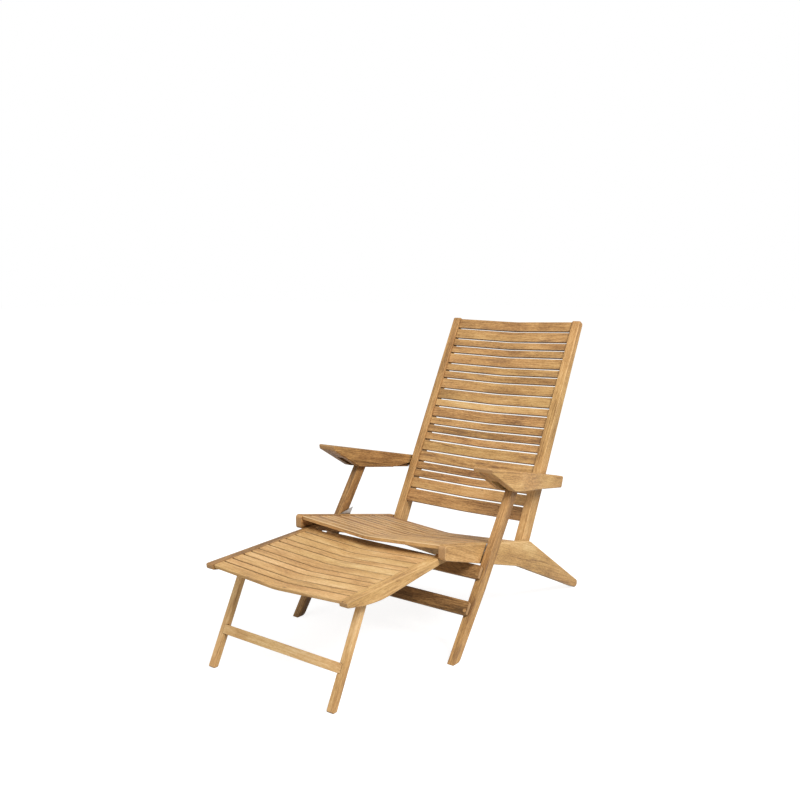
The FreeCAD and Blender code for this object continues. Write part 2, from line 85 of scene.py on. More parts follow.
class Net:
    """A small builder of shader nodes in the emptied tree of a material or world."""

    def __init__(self, owner):
        owner.use_nodes = True
        self.tree = owner.node_tree
        self.tree.nodes.clear()

    def node(self, kind, settings=None, **inputs):
        made = self.tree.nodes.new(kind)
        for key, value in (settings or {}).items():
            setattr(made, key, value)
        for key, value in inputs.items():
            self.feed(made.inputs[key.replace("_", " ")], value)
        return made

    def feed(self, socket, value):
        if isinstance(value, bpy.types.NodeSocket):
            self.tree.links.new(value, socket)
        else:
            socket.default_value = value

    def math(self, operation, a, b=0.0, c=0.0, clamp=False):
        made = self.node("ShaderNodeMath", {"operation": operation, "use_clamp": clamp})
        for socket, value in zip(made.inputs, (a, b, c)):
            self.feed(socket, value)
        return made.outputs[0]

    def around(self, value, weight, base, clamp=False):
        # the base, moved by what the value differs from one half
        return self.math("MULTIPLY_ADD", self.math("SUBTRACT", value, 0.5), weight, base, clamp)

    def vector(self, operation, a, b=None, scale=None):
        made = self.node("ShaderNodeVectorMath", {"operation": operation})
        self.feed(made.inputs[0], a)
        if b is not None:
            self.feed(made.inputs[1], b)
        if scale is not None:
            self.feed(made.inputs["Scale"], scale)
        is_number = operation in ("DOT_PRODUCT", "LENGTH")
        return made.outputs["Value"] if is_number else made.outputs[0]

    def noise_node(self, place, frequency, detail=2.0, roughness=0.5):
        stretched = self.vector("MULTIPLY", place, frequency)
        return self.node(
            "ShaderNodeTexNoise", Vector=stretched, Scale=1.0, Detail=detail, Roughness=roughness)

    def noise(self, place, frequency, detail=2.0, roughness=0.5):
        return self.noise_node(place, frequency, detail, roughness).outputs[0]

    def ramp(self, value, stops):
        made = self.node("ShaderNodeValToRGB", Fac=value)
        elements = made.color_ramp.elements
        while len(elements) < len(stops):
            elements.new(0.5)
        for element, (place, colour) in zip(elements, stops):
            element.position = place
            element.color = colour
        return made.outputs[0]

    def mix(self, amount, a, b, blend="MIX"):
        made = self.node("ShaderNodeMix", {"data_type": "RGBA", "blend_type": blend})
        self.feed(made.inputs[0], amount)
        self.feed(made.inputs[6], a)
        self.feed(made.inputs[7], b)
        return made.outputs[2]

    def smooth(self, value, low, high):
        made = self.node("ShaderNodeMapRange", {"interpolation_type": "SMOOTHSTEP"}, Value=value)
        made.inputs["From Min"].default_value = low
        made.inputs["From Max"].default_value = high
        return made.outputs[0]

    def joint_shade_mask(self, reach, low, high):
        # ambient occlusion as a mask for painted shade: nothing deep in a joint, one in the open
        near = self.node("ShaderNodeAmbientOcclusion", {"samples": 8}, Distance=reach)
        return self.smooth(near.outputs["AO"], low, high)

    def shown(self):
        # one for the rays that show the surface itself, nothing for those that only light
        path = self.node("ShaderNodeLightPath")
        seen = self.math("MAXIMUM", path.outputs["Is Camera Ray"], path.outputs["Is Glossy Ray"])
        return self.math("MAXIMUM", seen, path.outputs["Is Transmission Ray"])

    def either(self, amount, first, second):
        made = self.node("ShaderNodeMixShader", Fac=amount)
        self.feed(made.inputs[1], first)
        self.feed(made.inputs[2], second)
        return made.outputs[0]

    def output(self, shader, kind="ShaderNodeOutputMaterial"):
        self.node(kind, Surface=shader)


# ---------------------------------------------------------------- teak
TEAK_STOPS = (
    (0.00, linear(94, 66, 38)),
    (0.28, linear(152, 112, 70)),
    (0.55, linear(200, 156, 101)),
    (0.78, linear(222, 182, 127)),
    (1.00, linear(238, 205, 157)),
)
TEAK_FIGURE = {
    # frequency per metre along and across the grain, detail, roughness, weight in the colour
    "streak": (8.0, 260.0, 5.0, 0.65, 0.72),
    "broad": (2.2, 16.0, 3.0, 0.5, 0.7),
    "patch": (9.0, 26.0, 3.0, 0.55, 0.62),
    "fibre": (55.0, 1700.0, 2.0, 0.5, 0.35),
    "fleck": (95.0, 430.0, 3.0, 0.7, 0.75),
}
RING_FREQUENCY = 310.0
RING_WEIGHT = 0.45
RING_SWAY = 0.055       # how far the rings wander
PITH_FAR = 0.16         # from the board to the heart of the tree
TONE_WEIGHT = 0.5
YELLOWER = (0.97, 1.02, 0.93, 1.0)
PINKER = (1.04, 0.965, 0.95, 1.0)
SMUDGE = linear(150, 118, 88)
KNOT = linear(96, 64, 38)
END_PALE = linear(206, 165, 118)
END_DARK = linear(172, 130, 88)
END_RING = linear(206, 166, 118)
SCUFF_AND_HIGHLIGHT = linear(232, 200, 154)
JOINT_PAINTED_SHADE = linear(66, 43, 24)
MORTISE_PAINTED_SHADE = linear(34, 20, 11)
JOINT_REACH = 0.008     # how far from a joint the painted shade reaches
MORTISE_REACH = 0.024
REBATE_FROM = 0.17      # frame's y from which the arms' open rebates run


def teak(name, grain, reach=JOINT_REACH, dark=JOINT_PAINTED_SHADE, open_from=None):
    # the object's colour holds its tone: red for light or dark, on some pieces as painted light and
    # shade, green for yellow or pink, and blue for a figure of its own
    material = bpy.data.materials.new(name)
    net = Net(material)
    coord = net.node("ShaderNodeTexCoord")
    info = net.node("ShaderNodeObjectInfo")
    island = net.node("ShaderNodeNewGeometry").outputs["Random Per Island"]
    tone = net.node("ShaderNodeSeparateColor", Color=info.outputs["Color"])
    light, warm, own = tone.outputs[0], tone.outputs[1], tone.outputs[2]
    seed = net.math("ADD", own, net.math("MULTIPLY", island, 0.37))
    turn = grain.rotation_difference(ACROSS).to_euler()
    mapping = net.node("ShaderNodeMapping", Vector=coord.outputs["Object"], Rotation=turn)
    turned = mapping.outputs[0]
    offset = net.node(
        "ShaderNodeCombineXYZ",
        X=net.math("MULTIPLY", seed, 13.0),
        Y=net.math("MULTIPLY", seed, 7.3),
        Z=net.math("MULTIPLY", seed, 4.1)).outputs[0]
    place = net.vector("ADD", turned, offset)

    # growth rings round a distant pith
    drift = net.noise_node(place, (2.4, 11.0, 11.0))
    sway = net.vector("SUBTRACT", drift.outputs["Color"], (0.5, 0.5, 0.5))
    sway = net.vector("SCALE", sway, scale=RING_SWAY)
    pith = net.node(
        "ShaderNodeCombineXYZ",
        X=0.0,
        Y=net.math("SINE", net.math("MULTIPLY", seed, 41.0)),
        Z=net.math("COSINE", net.math("MULTIPLY", seed, 29.0))).outputs[0]
    flat = net.vector("MULTIPLY", net.vector("ADD", turned, sway), (0.0, 1.0, 1.0))
    pith = net.vector("SCALE", pith, scale=PITH_FAR)
    spread = net.vector("LENGTH", net.vector("ADD", flat, pith))
    ring = net.node(
        "ShaderNodeTexNoise", {"noise_dimensions": "1D"},
        W=spread, Scale=RING_FREQUENCY, Detail=3.0, Roughness=0.6).outputs[0]

    # streaks, stretches and fibres along the grain
    figure = {}
    level = net.around(ring, RING_WEIGHT, 0.5)
    for key, (lengthwise, crosswise, detail, roughness, weight) in TEAK_FIGURE.items():
        figure[key] = net.noise(place, (lengthwise, crosswise, crosswise), detail, roughness)
        level = net.around(figure[key], weight, level)
    smudge = net.smooth(net.noise(place, (6.0, 34.0, 34.0), 3.0, 0.6), 0.58, 0.74)
    pore = net.smooth(net.noise(place, (38.0, 900.0, 900.0), 1.0), 0.63, 0.74)
    level = net.around(light, TONE_WEIGHT, level)
    level = net.math("MULTIPLY_ADD", smudge, -0.2, level)
    level = net.math("MULTIPLY_ADD", pore, -0.12, level, clamp=True)
    colour = net.ramp(level, TEAK_STOPS)

    # pinker or yellower boards, and pinker or yellower stretches in each
    warmth = net.around(drift.outputs[0], 1.6, warm, clamp=True)
    colour = net.mix(1.0, colour, net.mix(warmth, YELLOWER, PINKER), "MULTIPLY")
    colour = net.mix(net.math("MULTIPLY", smudge, 0.3), colour, SMUDGE)

    # a small knot here and there
    cells = net.node(
        "ShaderNodeTexVoronoi", Vector=net.vector("MULTIPLY", place, (12.0, 34.0, 34.0)), Scale=1.0)
    lot = net.node("ShaderNodeSeparateColor", Color=cells.outputs["Color"]).outputs[0]
    rare = net.smooth(lot, 0.86, 0.88)
    middle = net.math("SUBTRACT", 1.0, net.smooth(cells.outputs["Distance"], 0.05, 0.13))
    spot = net.math("MULTIPLY", middle, rare)
    colour = net.mix(net.math("MULTIPLY", spot, 0.75), colour, KNOT)

    # end grain
    facing = net.vector("DOT_PRODUCT", coord.outputs["Normal"], tuple(grain))
    end = net.smooth(net.math("ABSOLUTE", facing), 0.72, 0.93)
    pits = net.smooth(net.noise(place, (500.0, 620.0, 620.0), 1.0), 0.35, 0.7)
    end_colour = net.mix(pits, END_PALE, END_DARK)
    end_colour = net.mix(net.math("MULTIPLY", ring, 0.5), end_colour, END_RING)
    colour = net.mix(net.math("MULTIPLY", end, 0.75), colour, end_colour)

    # painted shade in the joints and between the slats
    shade = net.joint_shade_mask(reach, 0.12, 0.9)
    if open_from is not None:
        # no painted shade on the rear of the arms, where a rebate lies open
        back = net.node("ShaderNodeSeparateXYZ", Vector=coord.outputs["Object"]).outputs[1]
        shade = net.math("MAXIMUM", shade, net.smooth(back, open_from, open_from + 0.03))
    # the colour darkened towards the painted shade colour where the mask is low
    colour = net.mix(shade, dark, colour)

    # arrises paler, from wear and as a painted highlight
    scuff_and_highlight = net.node("ShaderNodeAttribute", {"attribute_name": "scuff_and_highlight"}).outputs["Fac"]
    colour = net.mix(net.math("MULTIPLY", scuff_and_highlight, 0.65), colour, SCUFF_AND_HIGHLIGHT)

    rough = net.around(figure["streak"], 0.35, 0.58)
    rough = net.math("MULTIPLY_ADD", end, 0.2, rough, clamp=True)
    height = net.math("ADD", figure["streak"], net.math("MULTIPLY", figure["fibre"], 0.6))
    height = net.math("MULTIPLY_ADD", pore, -0.7, height)
    height = net.math("MULTIPLY_ADD", ring, 0.5, height)
    bump = net.node("ShaderNodeBump", Strength=0.35, Distance=0.0006, Height=height)
    shader = net.node(
        "ShaderNodeBsdfPrincipled", Base_Color=colour, Roughness=rough, Normal=bump.outputs[0],
        Specular_IOR_Level=0.28)
    net.output(shader.outputs[0])
    return material


TEAK_BY_GRAIN = {
    "across": teak("teak_across", ACROSS),
    "rail": teak("teak_rail", RAIL_GRAIN),
    "stile": teak("teak_stile", STILE_DIR),
    "leg": teak("teak_leg", LEG_DIR),
    # the arms get a wider and darker painted shade in their mortises and joints
    "arm": teak("teak_arm", ARM_DIR, MORTISE_REACH, MORTISE_PAINTED_SHADE, REBATE_FROM),
    "rest": teak("teak_rest", REST_DIR),
    "rest_leg": teak("teak_rest_leg", REST_LEG_DIR),
}


# ---------------------------------------------------------------- steel
STEEL_STOPS = (
    (0.25, linear(150, 151, 153)),
    (0.55, linear(196, 197, 199)),
    (0.80, linear(216, 217, 219)),
)
STEEL_PAINTED_SHADE = linear(46, 38, 32)


def steel(name, brush):
    # drawn steel: fine scratches along the brushing, faint cloudiness, and painted shade in its
    # joints
    material = bpy.data.materials.new(name)
    net = Net(material)
    coord = net.node("ShaderNodeTexCoord").outputs["Object"]
    turn = brush.rotation_difference(ACROSS).to_euler()
    turned = net.node("ShaderNodeMapping", Vector=coord, Rotation=turn).outputs[0]
    scratch = net.noise(turned, (60.0, 5200.0, 5200.0), 3.0, 0.6)
    cloud = net.noise(turned, (70.0, 110.0, 110.0), 3.0)
    colour = net.ramp(net.around(scratch, 0.8, cloud), STEEL_STOPS)
    # painted shade darkens the colour in joints, and with it the reflection
    colour = net.mix(net.joint_shade_mask(JOINT_REACH, 0.3, 0.9), STEEL_PAINTED_SHADE, colour)
    rough = net.around(scratch, 0.4, 0.36, clamp=True)
    rough = net.around(cloud, 0.3, rough, clamp=True)
    bump = net.node("ShaderNodeBump", Strength=0.25, Distance=0.0001, Height=scratch)
    shader = net.node(
        "ShaderNodeBsdfPrincipled", Base_Color=colour, Roughness=rough, Normal=bump.outputs[0],
        Metallic=1.0)
    net.output(shader.outputs[0])
    return material


STEEL_FLAT = steel("steel_flat", LEG_DIR)
STEEL_ROUND = steel("steel_round", UP)


# ---------------------------------------------------------------- modifiers and paint
WELD = 0.00001          # between the imported facets' doubled points
FLAT_ANGLE = math.radians(1.0)
BEVEL_ANGLE = math.radians(38)
SMOOTH_ANGLE = math.radians(32)


def mesh_group(name):
    group = bpy.data.node_groups.new(name, "GeometryNodeTree")
    for way in ("INPUT", "OUTPUT"):
        group.interface.new_socket("Geometry", in_out=way, socket_type="NodeSocketGeometry")
    return group, group.nodes.new("NodeGroupInput"), group.nodes.new("NodeGroupOutput")


def clean_group():
    # welds the imported facets, drops their stored normals
    group, start, end = mesh_group("clean_mesh")
    drop = group.nodes.new("GeometryNodeRemoveAttribute")
    drop.inputs["Name"].default_value = "custom_normal"
    weld = group.nodes.new("GeometryNodeMergeByDistance")
    weld.inputs["Distance"].default_value = WELD
    group.links.new(start.outputs[0], drop.inputs[0])
    group.links.new(drop.outputs[0], weld.inputs[0])
    group.links.new(weld.outputs[0], end.inputs[0])
    return group


def smooth_group(limit):
    # smooth shading, sharp where faces meet at more than the limit
    group, start, end = mesh_group("smooth_mesh")
    angle = group.nodes.new("GeometryNodeInputMeshEdgeAngle")
    compare = group.nodes.new("FunctionNodeCompare")
    compare.data_type = "FLOAT"
    compare.operation = "LESS_EQUAL"
    compare.inputs[1].default_value = limit
    faces = group.nodes.new("GeometryNodeSetShadeSmooth")
    faces.domain = "FACE"
    edges = group.nodes.new("GeometryNodeSetShadeSmooth")
    edges.domain = "EDGE"
    group.links.new(start.outputs[0], faces.inputs[0])
    group.links.new(faces.outputs[0], edges.inputs[0])
    group.links.new(angle.outputs[0], compare.inputs[0])
    group.links.new(compare.outputs[0], edges.inputs["Shade Smooth"])
    group.links.new(edges.outputs[0], end.inputs[0])
    return group


CLEAN = clean_group()
SMOOTH = smooth_group(SMOOTH_ANGLE)


def shade_softly(obj):
    shade = obj.modifiers.new("shade", "NODES")
    shade.node_group = SMOOTH
    weigh = obj.modifiers.new("weigh", "WEIGHTED_NORMAL")
    weigh.keep_sharp = True
    weigh.weight = 80


def round_edges(obj, width, segments=3):
    clean = obj.modifiers.new("clean", "NODES")
    clean.node_group = CLEAN
    dissolve = obj.modifiers.new("dissolve", "DECIMATE")
    dissolve.decimate_type = "DISSOLVE"
    dissolve.angle_limit = FLAT_ANGLE
    bevel = obj.modifiers.new("bevel", "BEVEL")
    bevel.width = width / 1000
    bevel.segments = segments
    bevel.limit_method = "ANGLE"
    bevel.angle_limit = BEVEL_ANGLE
    bevel.use_clamp_overlap = False
    bevel.miter_outer = "MITER_ARC"
    shade_softly(obj)


def paint(obj, material, light=0.0, warm=0.0, figure=0.0):
    obj.data.materials.clear()
    obj.data.materials.append(material)
    obj.color = (0.5 + light / 2, 0.5 + warm / 2, figure, 1.0)


# ---------------------------------------------------------------- pieces that stay as CAD made them
FRAME_TIMBERS = (
    # node, grain, rounding, lightness, warmth, figure
    # lightness also holds painted shade on the right-hand front leg and arm, on the far side, and
    # on the crossbars under the seat, and painted light on the footrest legs
    ("front_leg_left", "leg", 1.8, -0.2, -0.1, 0.53),
    ("front_leg_right", "leg", 1.8, -1.0, -0.3, 0.61),
    ("leg_crossbar_upper", "across", 1.4, -0.6, -0.1, 0.17),
    ("leg_crossbar_lower", "across", 1.4, -1.0, -0.1, 0.27),
    ("arm_left", "arm", 1.0, 0.05, 0.0, 0.37),
    ("arm_right", "arm", 1.0, -1.0, -0.9, 0.47),
    ("footrest_leg_left", "rest_leg", 1.6, 0.75, 0.0, 0.71),
    ("footrest_leg_right", "rest_leg", 1.6, 1.0, 0.0, 0.83),
    ("footrest_leg_crossbar", "across", 1.2, 1.0, 0.0, 0.91),
)
PINS = (
    "leg_pivot_pins", "back_pivot_pins", "arm_pivot_pins", "arm_pegs", "footrest_pins",
    "footrest_leg_pins")
PIN_ROUNDING = 0.6

for name, grain, rounding, light, warm, figure in FRAME_TIMBERS:
    round_edges(nodes[name], rounding)
    paint(nodes[name], TEAK_BY_GRAIN[grain], light, warm, figure)

for name in PINS:
    round_edges(nodes[name], PIN_ROUNDING, 2)
    paint(nodes[name], STEEL_ROUND)


# ---------------------------------------------------------------- making own pieces
def loft(bm, rings):
    # a skin over rings of as many points each, closed at both ends
    count = len(rings[0])
    for before, after in zip(rings, rings[1:]):
        for i in range(count):
            j = (i + 1) % count
            bm.faces.new((before[i], before[j], after[j], after[i]))
    bm.faces.new(rings[0][::-1])
    bm.faces.new(rings[-1])


def finished(name, bm, mirror=False):
    if mirror:
        bmesh.ops.scale(bm, vec=(-1, 1, 1), verts=bm.verts)
    bmesh.ops.recalc_face_normals(bm, faces=bm.faces)
    mesh = bpy.data.meshes.new(name)
    bm.to_mesh(mesh)
    bm.free()
    mesh.shade_smooth()
    obj = bpy.data.objects.new(name, mesh)
    scene.collection.objects.link(obj)
    return obj


def scuff_and_highlight_layer(bm):
    return bm.verts.layers.float.get("scuff_and_highlight") or bm.verts.layers.float.new("scuff_and_highlight")


def outline(corners, step=math.radians(7.5)):
    # points round a side outline, its corners rounded in steps
    points = []
    count = len(corners)
    for number, (y, z, radius) in enumerate(corners):
        here = Vector((y, z))
        back = (Vector(corners[number - 1][:2]) - here).normalized()
        ahead = (Vector(corners[(number + 1) % count][:2]) - here).normalized()
        half = back.angle(ahead) / 2
        centre = here + (back + ahead).normalized() * (radius / math.sin(half))
        arm = here + back * (radius / math.tan(half)) - centre
        turn = math.pi - 2 * half
        if back.cross(ahead) > 0:
            turn = -turn
        steps = max(2, math.ceil(abs(turn) / step))
        for k in range(steps + 1):
            angle = turn * k / steps
            points.append(centre + Vector((
                arm.x * math.cos(angle) - arm.y * math.sin(angle),
                arm.x * math.sin(angle) + arm.y * math.cos(angle))))
    return points


def rim(rounding, steps=4):
    # how far in from the end face and from the outline
    angles = [math.pi / 2 * k / steps for k in range(steps + 1)]
    return [(rounding * (1 - math.cos(a)), rounding * (1 - math.sin(a))) for a in angles]


OUTER_RIM_PALE = 0.35              # paleness of the outer rims, from wear and as a painted highlight
PALED_SHARE = 0.6            # share of the rim's depth that is paled


def sawn(bm, corners, x0, x1, inner, outer):
    # a piece sawn to a side outline, its rims rounded at its inner and outer face
    points = outline(corners)
    count = len(points)
    area = sum(points[i - 1].cross(points[i]) for i in range(count))
    side = 1 if area > 0 else -1
    insets = []
    for i in range(count):
        before = (points[i] - points[i - 1]).normalized()
        after = (points[(i + 1) % count] - points[i]).normalized()
        one = Vector((-before.y, before.x)) * side
        two = Vector((-after.y, after.x)) * side
        insets.append((one + two) / (1 + one.dot(two)))
    levels = [(x0 + deep, inset, 0.0) for deep, inset in rim(inner)]
    # the outer rims are paled, from wear and as a painted highlight
    for deep, inset in rim(outer)[::-1]:
        levels.append((x1 - deep, inset, OUTER_RIM_PALE if 0 < deep < outer * PALED_SHARE else 0.0))
    scuff_and_highlight = scuff_and_highlight_layer(bm)
    rings = []
    for x, inset, rim_pale_here in levels:
        ring = []
        for point, way in zip(points, insets):
            spot = point + way * inset
            place = drawn(spot.x, spot.y)
            vert = bm.verts.new((x / 1000, place.y, place.z))
            vert[scuff_and_highlight] = rim_pale_here
            ring.append(vert)
        rings.append(ring)
    loft(bm, rings)


def carve(obj, corners, x0, x1, mirror):
    # cuts a sharp-edged hollow of this outline
    bm = bmesh.new()
    sawn(bm, corners, x0, x1, 0.01, 0.01)
    tool = finished("carving_tool", bm, mirror)
    cut = obj.modifiers.new("cut", "BOOLEAN")
    cut.object = tool
    cut.solver = "EXACT"
    graph = bpy.context.evaluated_depsgraph_get()
    result = bpy.data.meshes.new_from_object(obj.evaluated_get(graph))
    obj.modifiers.remove(cut)
    obj.data = result
    bpy.data.objects.remove(tool)


# ---------------------------------------------------------------- rails and stiles
RAIL_INNER = 238.0
RAIL_OUTER = 260.0
RAIL_TOP_FRONT = (-359.0, 312.8)
RAIL_CORNERS = (
    RAIL_TOP_FRONT + (9.0,),
    (-359.0, 273.1, 9.0),
    (14.0, 163.0, 60.0),
    (377.1, 0.0, 2.0),
    (393.0, 0.0, 11.0),
    (395.5, 18.5, 11.0),
    (82.0, 220.7, 14.0),
)

REST_PIN = (-274.3, 266.8)
SLIDE = 320.0
GROOVE_R = 4.3
GROOVE_DEPTH = 5.0
SLIDE_UP = turned_up(SLIDE_DIR)
GROOVE_NEAR = along(REST_PIN, SLIDE_DIR, -GROOVE_R)
GROOVE_FAR = along(REST_PIN, SLIDE_DIR, SLIDE + GROOVE_R)
GROOVE_CORNERS = tuple(
    along(end, SLIDE_UP, height) + (GROOVE_R - 0.02,)
    for end, height in (
        (GROOVE_NEAR, GROOVE_R), (GROOVE_NEAR, -GROOVE_R),
        (GROOVE_FAR, -GROOVE_R), (GROOVE_FAR, GROOVE_R)))

STILE_INNER = 211.0
STILE_OUTER = 237.0
STILE_REF = (72.0, 222.0)
STILE_TOP = 715.9
STILE_FOOT = -30.0
STILE_FOOT_CUT = 9.0
STILE_DEPTH_TOP = 25.0
STILE_DEPTH_FOOT = 46.0


def stile_corner(height, depth, radius):
    spot = along(along(STILE_REF, STILE_DIR, height), turned_up(STILE_DIR), -depth)
    return spot + (radius,)


STILE_CORNERS = (
    stile_corner(STILE_TOP, 0.0, 7.0),
    stile_corner(STILE_FOOT + STILE_FOOT_CUT, 0.0, 3.0),
    stile_corner(STILE_FOOT, STILE_FOOT_CUT, 3.0),
    stile_corner(STILE_FOOT, STILE_DEPTH_FOOT - STILE_FOOT_CUT, 3.0),
    stile_corner(STILE_FOOT + STILE_FOOT_CUT, STILE_DEPTH_FOOT, 3.0),
    stile_corner(STILE_TOP, STILE_DEPTH_TOP, 7.0),
)

REST_INNER = 212.0
REST_OUTER = 237.0
REST_HEEL_R = 9.8
REST_UP = turned_up(REST_DIR)
REST_HEEL = along(REST_PIN, REST_DIR, REST_HEEL_R)
REST_CORNERS = (
    (-711.0, 261.9, 4.0),
    (-709.0, 247.8, 6.0),
    (-655.0, 237.0, 120.0),
    (-585.0, 230.6, 300.0),
    (-335.0, 257.1, 150.0),
    along(REST_HEEL, REST_UP, -REST_HEEL_R) + (9.3,),
    along(REST_HEEL, REST_UP, REST_HEEL_R) + (9.7,),
)

SAWN_TIMBERS = (
    # node, body, outline, inner and outer face, rounding there, grain,
    # lightness and warmth of the left and of the right one
    ("seat_rail", "seat", RAIL_CORNERS, RAIL_INNER, RAIL_OUTER, 1.3, 2.6, "rail",
     (0.3, -0.2), (-0.3, 0.1)),
    ("back_stile", "backrest", STILE_CORNERS, STILE_INNER, STILE_OUTER, 2.0, 2.6, "stile",
     (0.15, -0.2), (-0.05, -0.1)),
    # the right-hand footrest rail, on the far side, is darkened as painted shade
    ("footrest_rail", "footrest", REST_CORNERS, REST_INNER, REST_OUTER, 1.0, 2.8, "rest",
     (0.15, -0.1), (-0.8, 0.0)),
)
for label, body, corners, x0, x1, inner, outer, grain, left_tone, right_tone in SAWN_TIMBERS:
    for hand, tone, figure in (("left", left_tone, 0.31), ("right", right_tone, 0.67)):
        bm = bmesh.new()
        sawn(bm, corners, x0, x1, inner, outer)
        obj = finished("%s_timber_%s" % (label, hand), bm, hand == "right")
        if label == "seat_rail":
            carve(obj, GROOVE_CORNERS, x0 - 2.0, x0 + GROOVE_DEPTH, hand == "right")
        shade_softly(obj)
        paint(obj, TEAK_BY_GRAIN[grain], tone[0], tone[1], figure + len(label) * 0.013)
        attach(obj, body)
        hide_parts("%s_%s" % (label, hand))


# ---------------------------------------------------------------- stop brackets
# a triangular plate on the rail, and the lug behind the leg
LEG_PIVOT = (-170.5, 235.0)
LEG_DEPTH = 33.0
BRACKET_THICK = 2.0
LUG_THICK = 6.5
LUG_REACH = 12.0
PLATE_REAR = along(LEG_PIVOT, LEG_FRONT, -LEG_DEPTH / 2 - 10.7)
LUG_NEAR = along(LEG_PIVOT, LEG_FRONT, -LEG_DEPTH / 2 - 0.4)
LUG_FAR = along(LUG_NEAR, LEG_FRONT, -LUG_THICK)
PLATE_CORNERS = (
    (-186.0, 229.0, 5.0),
    (-150.0, 218.0, 5.0),
    along(PLATE_REAR, LEG_DIR, 23.0) + (2.0,),
    along(PLATE_REAR, LEG_DIR, 77.0) + (0.8,),
    (-163.0, 272.4, 4.0),
    (-180.0, 248.0, 5.0),
)
LUG_CORNERS = (
    along(LUG_NEAR, LEG_DIR, 34.0) + (1.0,),
    along(LUG_FAR, LEG_DIR, 31.0) + (1.0,),
    along(LUG_FAR, LEG_DIR, 51.0) + (1.0,),
    along(LUG_NEAR, LEG_DIR, 56.0) + (1.0,),
)
PLATE_OUTER = RAIL_OUTER + BRACKET_THICK
for hand in ("left", "right"):
    bm = bmesh.new()
    sawn(bm, PLATE_CORNERS, RAIL_OUTER, PLATE_OUTER, 0.1, 0.5)
    sawn(bm, LUG_CORNERS, PLATE_OUTER - 1.0, PLATE_OUTER + LUG_REACH, 0.1, 0.6)
    obj = finished("bracket_plate_%s" % hand, bm, hand == "right")
    shade_softly(obj)
    paint(obj, STEEL_FLAT)
    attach(obj, "seat")
    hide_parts("stop_bracket_%s" % hand)


# ---------------------------------------------------------------- plugs over the crossbars' screws
PLUG_R = 5.0
PLUG_X = 269.25
PLUG_SIDES = 24
PLUG_LEVELS = (
    # radius, height over the crossbar
    (PLUG_R, -3.0), (PLUG_R, 0.05), (PLUG_R - 0.25, 0.3), (PLUG_R - 0.7, 0.4))
CROSSBAR_THICK = 12.0
CROSSBAR_MIDDLE = 26.0  # down from its upper edge
LEG_FRONT_LINE = along(LEG_PIVOT, LEG_FRONT, LEG_DEPTH / 2)
for label, drop in (("upper", 30.0), ("lower", 130.0)):
    under = along(LEG_FRONT_LINE, LEG_DIR, -drop - CROSSBAR_MIDDLE)
    seat_of_plug = along(under, LEG_FRONT, CROSSBAR_THICK)
    for hand, sign in (("left", 1), ("right", -1)):
        bm = bmesh.new()
        rings = []
        for radius, height in PLUG_LEVELS:
            ring = []
            for k in range(PLUG_SIDES):
                angle = math.tau * k / PLUG_SIDES
                spot = along(seat_of_plug, LEG_DIR, radius * math.sin(angle))
                place = drawn(*along(spot, LEG_FRONT, height))
                x = sign * PLUG_X + radius * math.cos(angle)
                ring.append(bm.verts.new((x / 1000, place.y, place.z)))
            rings.append(ring)
        loft(bm, rings)
        obj = finished("crossbar_%s_plug_%s" % (label, hand), bm)
        shade_softly(obj)
        paint(obj, TEAK_BY_GRAIN["across"], -1.0, 0.2, 0.4 + 0.1 * sign)
        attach(obj, "front_legs")


# ---------------------------------------------------------------- slats
GAP = 4.5
WIDTHS = {"F": 33.3, "W": 33.3, "N": 22.8, "B": 42.0}
HOUSED = 8.0            # how far each end is let into its rail
CREASE_R = 260.0
TOP_ROUND = 3.0
UNDER_ROUND = 1.4


def section(width, thick, top_rim_pale):
    # rounded outline of a slat, seen along it: across the slat, height from its top face, and
    # paleness from wear and painted highlight
    points = []
    for cy, cz, radius, start in (
            (width - TOP_ROUND, -TOP_ROUND, TOP_ROUND, 0),
            (TOP_ROUND, -TOP_ROUND, TOP_ROUND, 90),
            (UNDER_ROUND, -thick + UNDER_ROUND, UNDER_ROUND, 180),
            (width - UNDER_ROUND, -thick + UNDER_ROUND, UNDER_ROUND, 270)):
        for step in range(5):
            angle = math.radians(start + step * 22.5)
            # the two top rims are paled, from wear and as a painted highlight
            rim_pale_here = top_rim_pale if start < 180 and 0 < step < 4 else 0.0
            points.append((cy + radius * math.cos(angle), cz + radius * math.sin(angle), rim_pale_here))
    return points


def sag(x, half, dip):
    # straight limbs that meet in a softened crease
    slope = dip / half
    soft = CREASE_R * slope
    if abs(x) < soft:
        return -dip + slope * soft / 2 + slope * x * x / (2 * soft)
    if abs(x) > half:
        return 0.0
    return -dip + slope * abs(x)


def stations(half):
    # where the sections stand, closer together at the crease
    places = [half + HOUSED, half, half - 1.0]
    place = half - 20.0
    while place > 30.0:
        places.append(place)
        place -= 22.0
    places += [26.0, 20.0, 15.0, 10.0, 5.0]
    return [-p for p in places] + [0.0] + places[::-1]


def slat(name, width, thick, half, dip, spot, direction, top_rim_pale):
    normal = turned_up(direction)
    profile = section(width, thick, top_rim_pale)
    bm = bmesh.new()
    scuff_and_highlight = scuff_and_highlight_layer(bm)
    rings = []
    for x in stations(half):
        drop = sag(x, half, dip)
        ring = []
        for across, below, rim_pale_here in profile:
            place = spot + direction * (across / 1000) + normal * ((below + drop) / 1000)
            vert = bm.verts.new((x / 1000, place.y, place.z))
            vert[scuff_and_highlight] = rim_pale_here
            ring.append(vert)
        rings.append(ring)
    loft(bm, rings)
    return finished(name, bm)


